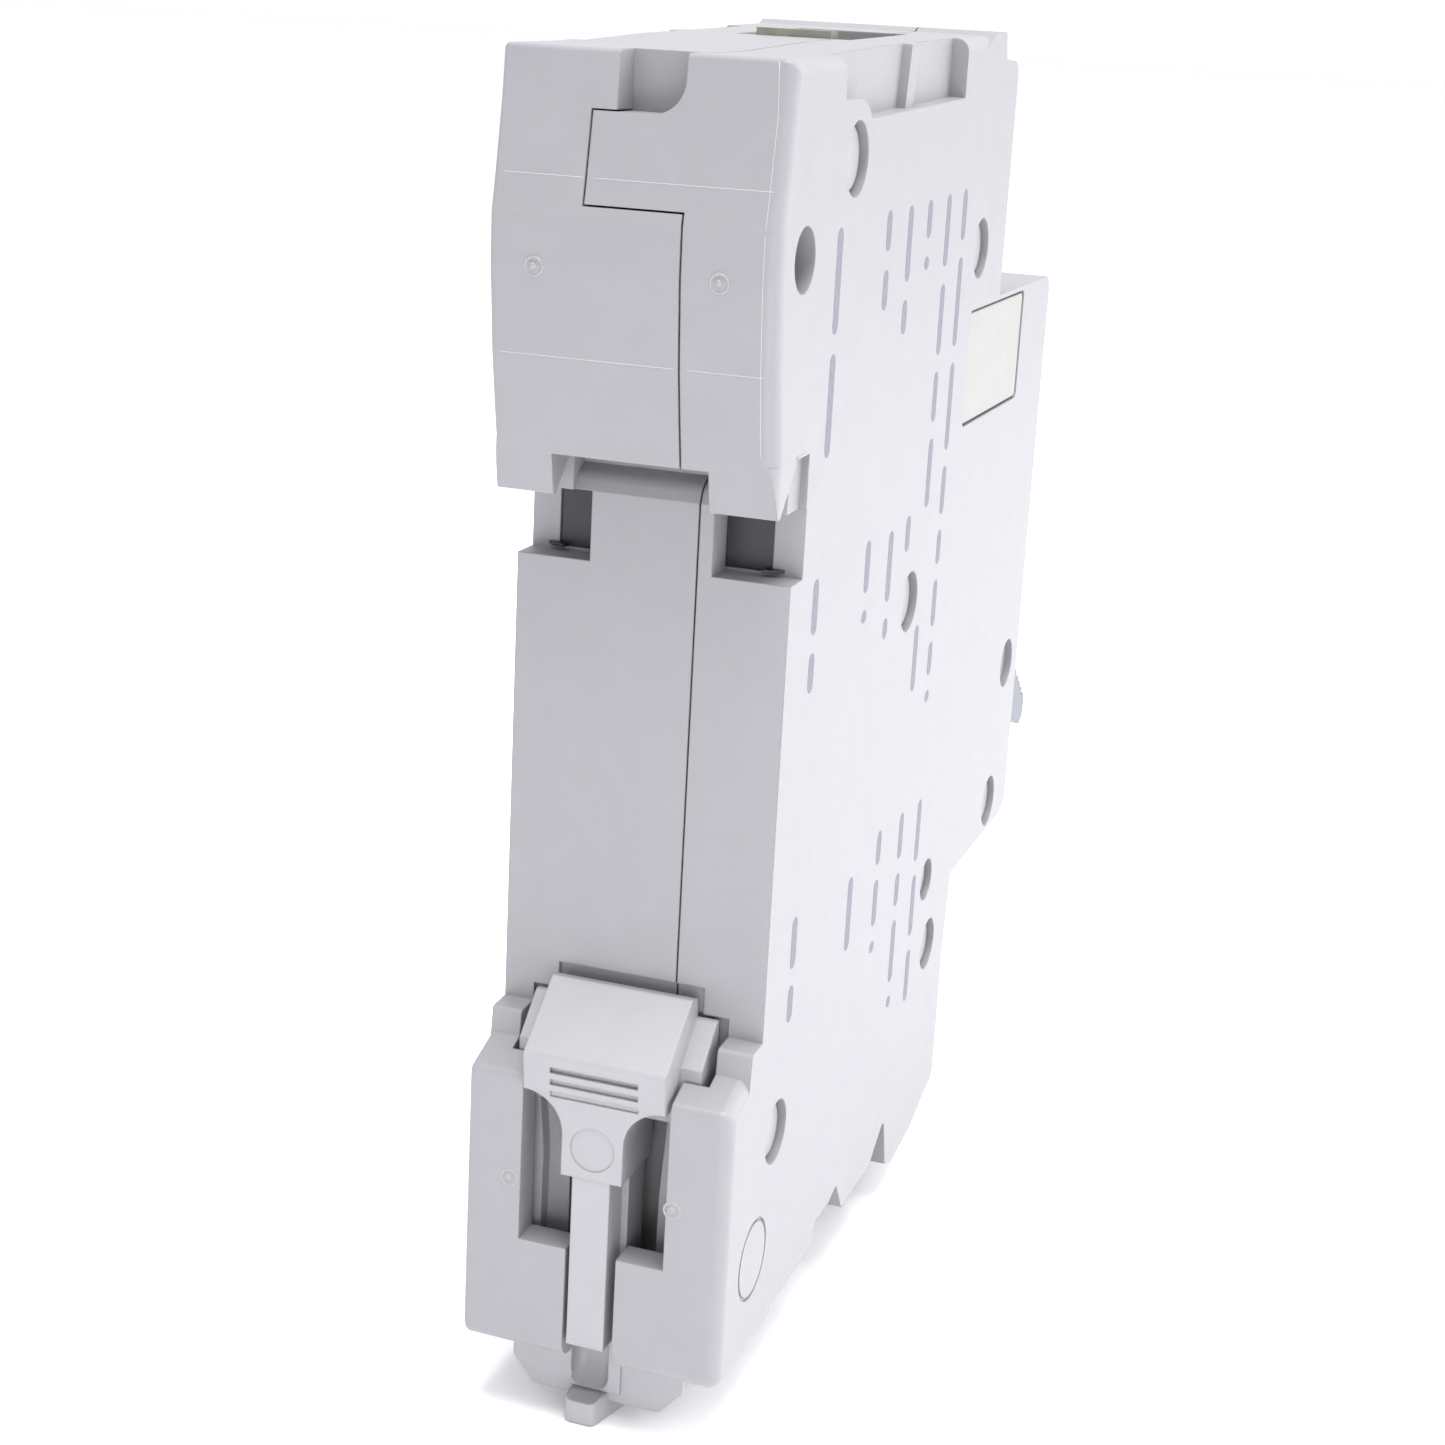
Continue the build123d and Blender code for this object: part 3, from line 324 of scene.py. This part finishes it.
MATERIALS = {
    "casing": plastic(
        "casing_grey", CASE_GREY, roughness=0.44, grain=0.010, tone=0.02, edge=0.14),
    "dowel": plastic(
        "dowel_grey", shade(CASE_GREY, 1.18), roughness=0.38, grain=0.006, tone=0.02, edge=0.12),
    "window": clear_plastic("window_clear"),
    # Its lighter grey is painted light on the clip's head, not a whiter plastic.
    "clip": plastic(
        "clip_grey_painted_light", CLIP_GREY_PAINTED_LIGHT, roughness=0.38, grain=0.006, tone=0.02, edge=0.16),
    "toggle": plastic(
        "toggle_blue_black", (0.020, 0.028, 0.055), roughness=0.32, grain=0.006, tone=0.1, edge=0.2),
    "pin_steel": metal(
        "pin_steel", (0.62, 0.61, 0.60), roughness=0.25, brushing=(0.15, 3.0, 3.0), scratch=0.004),
    "spring": metal(
        "spring_wire", (0.50, 0.50, 0.51), roughness=0.30, brushing=(2.0, 2.0, 2.0), scratch=0.004),
    "carrier": plastic(
        "carrier_black", (0.028, 0.027, 0.028), roughness=0.45, grain=0.016, tone=0.2, edge=0.1),
    "copper": metal(
        "bare_copper", (0.80, 0.42, 0.28), roughness=0.34, brushing=(1.0, 0.2, 2.5),
        scratch=0.006, stain=(0.52, 0.24, 0.15)),
    "silver": metal(
        "contact_silver", (0.80, 0.79, 0.76), roughness=0.35, brushing=(1.0, 1.0, 1.0),
        scratch=0.008, stain=(0.6, 0.58, 0.54)),
    "zinc_steel": metal(
        "zinc_steel", (0.60, 0.60, 0.61), roughness=0.36, brushing=(0.4, 0.4, 2.5), scratch=0.006),
    "bobbin": plastic(
        "bobbin_ivory", (0.66, 0.62, 0.50), roughness=0.45, grain=0.01, tone=0.05, edge=0.1),
    "copper_wire": metal(
        "enamelled_copper", (0.62, 0.25, 0.11), roughness=0.22, brushing=(1.0, 1.0, 1.0),
        scratch=0.003),
    "bimetal": metal(
        "bimetal", (0.47, 0.44, 0.40), roughness=0.30, brushing=(3.0, 1.0, 0.2), scratch=0.005),
    "brass_screw": metal(
        "turned_brass", (0.72, 0.53, 0.24), roughness=0.28, brushing=(0.3, 0.3, 4.0),
        scratch=0.005),
    "flag": flag_paint("flag_two_colours"),
    "fibre": plastic(
        "fibre_red_brown", (0.24, 0.07, 0.035), roughness=0.6, grain=0.02, tone=0.18, edge=0.05,
        mottling=1.2),
    "zinc_screw": metal(
        "passivated_zinc", (0.70, 0.66, 0.50), roughness=0.30, brushing=(3.0, 0.4, 3.0),
        scratch=0.006, stain=(0.55, 0.52, 0.55)),
    # The liner's near-black is painted shade: it makes the pockets behind the back wall as dark as
    # deep shade.
    "liner": plastic(
        "liner_painted_shade", (0.012, 0.012, 0.017), roughness=0.35, grain=0.006, tone=0.15, edge=0.05),
    "gate": plastic(
        "gate_pale", shade(CASE_GREY, 1.16), roughness=0.3, grain=0.02, tone=0.06, edge=0.03,
        mottling=2.5),
    # The lines' grey is the casing grey made 1.55 times lighter, though they are the same plastic: a
    # painted highlight along the raised crests.
    "witness": plastic(
        "witness_painted_highlight", shade(CASE_GREY, 1.55), roughness=0.35, grain=0.004, tone=0.02, edge=0.0),
    "knock_out": plastic(
        "knock_out_grey", (0.262, 0.259, 0.250), roughness=0.5, grain=0.014, tone=0.03, edge=0.05),
    "print": plastic(
        "print_grey", (0.128, 0.132, 0.165), roughness=0.6, grain=0.004, tone=0.12, edge=0.02,
        mottling=2.0),
    "cage": metal(
        "olive_zinc", (0.36, 0.36, 0.29), roughness=0.38, brushing=(0.4, 1.0, 2.5),
        scratch=0.008, stain=(0.24, 0.25, 0.22)),
}
for entry in frame["record"]["subparts"]:
    cad = NODES[entry["node"]]
    cad.data.materials.clear()
    # The chamber liner takes the near-black liner finish instead of its own slot's: painted shade in
    # the pockets.
    finish = "liner" if entry["node"] == "chamber_liner" else entry["material_slot"]
    cad.data.materials.append(MATERIALS[finish])


# ------------------------------------------------------------- the stage and light
def backdrop():
    """One wide, pale, plain floor under the clip's tab."""
    bm = bmesh.new()
    bmesh.ops.create_grid(bm, x_segments=1, y_segments=1, size=FLOOR_HALF_SIZE)
    mesh = bpy.data.meshes.new("floor")
    bm.to_mesh(mesh)
    bm.free()
    floor = bpy.data.objects.new("floor", mesh)
    floor.location.z = CAD_BOX[0][2]
    bpy.context.scene.collection.objects.link(floor)
    material, _, shader = new_material("floor_paper")
    shader.inputs["Base Color"].default_value = FLOOR_COLOUR
    shader.inputs["Roughness"].default_value = 0.9
    mesh.materials.append(material)


def area_light(name, position, size, power):
    """A soft square light aimed at the breaker. The camera doesn't see the lamp itself."""
    data = bpy.data.lights.new(name, "AREA")
    data.shape = "SQUARE"
    data.size = size
    data.energy = power
    lamp = bpy.data.objects.new(name, data)
    lamp.location = position
    lamp.rotation_euler = (LIGHT_TARGET - Vector(position)).to_track_quat("-Z", "Y").to_euler()
    lamp.visible_camera = False
    bpy.context.scene.collection.objects.link(lamp)


def lights():
    """An even pale sky, soft boxes from the printed side and above, and a weak low fill."""
    world = bpy.data.worlds.new("sky")
    bpy.context.scene.world = world
    world.use_nodes = True
    background = world.node_tree.nodes["Background"]
    background.inputs["Color"].default_value = SKY_COLOUR
    background.inputs["Strength"].default_value = SKY_STRENGTH
    area_light("side_box", (-0.60, -0.30, 0.20), size=0.9, power=7.0)
    area_light("top_box", (-0.10, 0.10, 0.90), size=0.5, power=12.0)
    area_light("low_fill", (-0.05, 0.14, -0.035), size=0.08, power=0.10)


def camera():
    """The camera stands behind the breaker, above it and towards its printed side."""
    back = Vector((
        math.sin(CAMERA_AZIMUTH) * math.cos(CAMERA_ELEVATION),
        -math.cos(CAMERA_AZIMUTH) * math.cos(CAMERA_ELEVATION),
        math.sin(CAMERA_ELEVATION),
    ))
    right = Vector((0, 0, 1)).cross(back).normalized()
    up = back.cross(right)
    turned_right = right * math.cos(CAMERA_ROLL) + up * math.sin(CAMERA_ROLL)
    turned_up = up * math.cos(CAMERA_ROLL) - right * math.sin(CAMERA_ROLL)
    data = bpy.data.cameras.new("camera")
    data.sensor_width = CAMERA_SENSOR
    data.lens = CAMERA_LENS
    data.clip_start = 0.01
    data.clip_end = 50.0
    eye = bpy.data.objects.new("camera", data)
    basis = Matrix((turned_right, turned_up, back)).transposed().to_4x4()
    eye.matrix_world = Matrix.Translation(place(*CAMERA_PLACE)) @ basis
    bpy.context.scene.collection.objects.link(eye)
    bpy.context.scene.camera = eye


# ------------------------------------------------------------------ moulded details
def lathe(bm, centre, axis, profile, steps):
    """Adds a turned shape: profile is (radius, height along the axis) pairs in millimetres."""
    axis = Vector(axis).normalized()
    side = axis.orthogonal().normalized()
    other = axis.cross(side)
    rings = []
    for k in range(steps):
        angle = math.tau * k / steps
        out = side * math.cos(angle) + other * math.sin(angle)
        rings.append([bm.verts.new(centre + (out * r + axis * h) * MM) for r, h in profile])
    for k, here in enumerate(rings):
        following = rings[(k + 1) % steps]
        for i in range(len(profile) - 1):
            bm.faces.new((here[i], following[i], following[i + 1], here[i + 1]))


def ray_to_back(x, height):
    """How far back the casing's surface stands at a place, in millimetres, and its normal."""
    best = None
    for name in ("case_main", "case_cover"):
        origin = place(x, 20.0, height)
        hit, spot, normal, _ = NODES[name].ray_cast(origin, Vector((0, -1, 0)))
        if hit and (best is None or spot.y > best[0]):
            best = (spot.y, normal.copy())
    return best[0] / MM, best[1]


def gate_mark(name, x, height):
    """The small raised ring and snapped-off nib that a moulding gate leaves."""
    y, normal = ray_to_back(x, height)
    centre = place(x, y, height)
    bm = bmesh.new()
    lathe(bm, centre, normal, GATE_RING, 36)
    lathe(bm, centre + normal.orthogonal() * GATE_NIB_SHIFT * MM, normal, GATE_NIB, 18)
    for vert in bm.verts:
        shift = [random.uniform(-GATE_ROUGHNESS, GATE_ROUGHNESS) for _ in range(3)]
        vert.co += Vector(shift) * MM
    mesh_piece(name, bm, "casing", MATERIALS["gate"])


def stations_along(points):
    """Places a short step apart on a line through (x, height) points."""
    stations = []
    last = len(points) - 2
    for i, ((x0, z0), (x1, z1)) in enumerate(zip(points, points[1:])):
        steps = max(2, int(math.hypot(x1 - x0, z1 - z0) / WITNESS_STEP))
        for k in range(steps + (i == last)):
            t = k / steps
            stations.append((x0 + (x1 - x0) * t, z0 + (z1 - z0) * t))
    return stations


def witness_line(name, points):
    """A fine raised line that follows the back of the casing through (x, height) points."""
    bm = bmesh.new()
    rows = []
    stations = stations_along(points)
    for k, (x, z) in enumerate(stations):
        ahead = stations[min(k + 1, len(stations) - 1)]
        behind = stations[max(k - 1, 0)]
        run, climb = ahead[0] - behind[0], ahead[1] - behind[1]
        length = math.hypot(run, climb)
        across = Vector((-climb / length, 0, run / length)) * WITNESS_WIDTH / 2 * MM
        y, normal = ray_to_back(x, z)
        spot = place(x, y, z)
        root = normal * WITNESS_ROOT * MM
        crest = normal * WITNESS_RISE * MM
        rows.append([
            bm.verts.new(spot - across - root),
            bm.verts.new(spot - across * 0.5 + crest),
            bm.verts.new(spot + across * 0.5 + crest),
            bm.verts.new(spot + across - root),
        ])
    for here, following in zip(rows, rows[1:]):
        bridge(bm, here, following)
    bm.faces.new(rows[0])
    bm.faces.new(rows[-1])
    # The line's lighter finish is a painted highlight along its crest.
    mesh_piece(name, bm, "casing", MATERIALS["witness"])


def rounded_outline(corners, radius):
    """The (y, height) points of an outline whose corners are rounded by curves."""
    outline = []
    count = len(corners)
    for i, corner in enumerate(corners):
        here = Vector(corner)
        back = (Vector(corners[i - 1]) - here).normalized()
        ahead = (Vector(corners[(i + 1) % count]) - here).normalized()
        for k in range(CORNER_STEPS + 1):
            t = k / CORNER_STEPS
            outline.append(here + back * radius * (1 - t) ** 2 + ahead * radius * t ** 2)
    return outline


def knock_out(name, side):
    """The thin break-out plate in the coupling window of one side, -1 or 1."""
    bm = bmesh.new()
    outline = rounded_outline(KNOCK_OUT_CORNERS, KNOCK_OUT_CORNER)
    middle = sum(outline, Vector((0, 0))) / len(outline)
    root_x = side * (KNOCK_OUT_FACE - KNOCK_OUT_THICKNESS)
    lip_x = side * (KNOCK_OUT_FACE - KNOCK_OUT_EDGE_DROP)
    root, lip, face = [], [], []
    for spot in outline:
        tucked = spot + (middle - spot).normalized() * KNOCK_OUT_EDGE_TUCK
        root.append(bm.verts.new(place(root_x, *spot)))
        lip.append(bm.verts.new(place(lip_x, *spot)))
        face.append(bm.verts.new(place(side * KNOCK_OUT_FACE, *tucked)))
    bridge(bm, root, lip)
    bridge(bm, lip, face)
    bm.faces.new(face)
    bm.faces.new(list(reversed(root)))
    mesh_piece(name, bm, "casing", MATERIALS["knock_out"], smooth=False)


def on_flat_side(y, top, bottom):
    """Whether the casing's flat side is under a whole bar, with no recess in it."""
    inwards = Vector((1, 0, 0))
    for height in (top, (top + bottom) / 2, bottom):
        for shift in (-BAR_WIDTH, 0.0, BAR_WIDTH):
            start = place(-20.0, y + shift, height)
            hit, spot, _, _ = NODES["case_cover"].ray_cast(start, inwards)
            if not hit or spot.x > -(HALF_WIDTH - 0.05) * MM:
                return False
    return True


def bar(bm, y, top, bottom):
    """One flat bar with rounded ends, a hundredth of a millimetre proud of the side."""
    radius = min(BAR_WIDTH / 2, (top - bottom) / 2)
    ring = []
    for k in range(BAR_OUTLINE_POINTS):
        angle = math.tau * (k + 0.5) / BAR_OUTLINE_POINTS
        centre = top - radius if math.sin(angle) > 0 else bottom + radius
        ring.append((y + BAR_WIDTH / 2 * math.cos(angle), centre + radius * math.sin(angle)))
    face = [bm.verts.new(place(-HALF_WIDTH - BAR_PROUD, *spot)) for spot in ring]
    base = [bm.verts.new(place(-HALF_WIDTH + BAR_ROOT, *spot)) for spot in ring]
    bm.faces.new(face)
    bm.faces.new(list(reversed(base)))
    bridge(bm, base, face)


def print_bars(name, y, top, bottom):
    """A row of plain grey bars on the printed side, standing in for a line of rating text."""
    bm = bmesh.new()
    height = top
    while height > bottom + SHORTEST_BAR:
        run = min(random.choice(BAR_LENGTHS), height - bottom)
        if on_flat_side(y, height, height - run):
            bar(bm, y, height, height - run)
        height -= run + BAR_SPACING
    mesh_piece(name, bm, "casing", MATERIALS["print"], smooth=False)


for label, (x, height) in GATE_MARKS.items():
    gate_mark(label, x, height)
for label, points in WITNESS_LINES.items():
    witness_line(label, points)
knock_out("knock_out_right", -1)
knock_out("knock_out_left", 1)
for number, row in enumerate(PRINT_ROWS):
    print_bars(f"print_bars_{number:02d}", *row)
camera()
backdrop()
lights()
bpy.context.scene.view_settings.view_transform = "Standard"
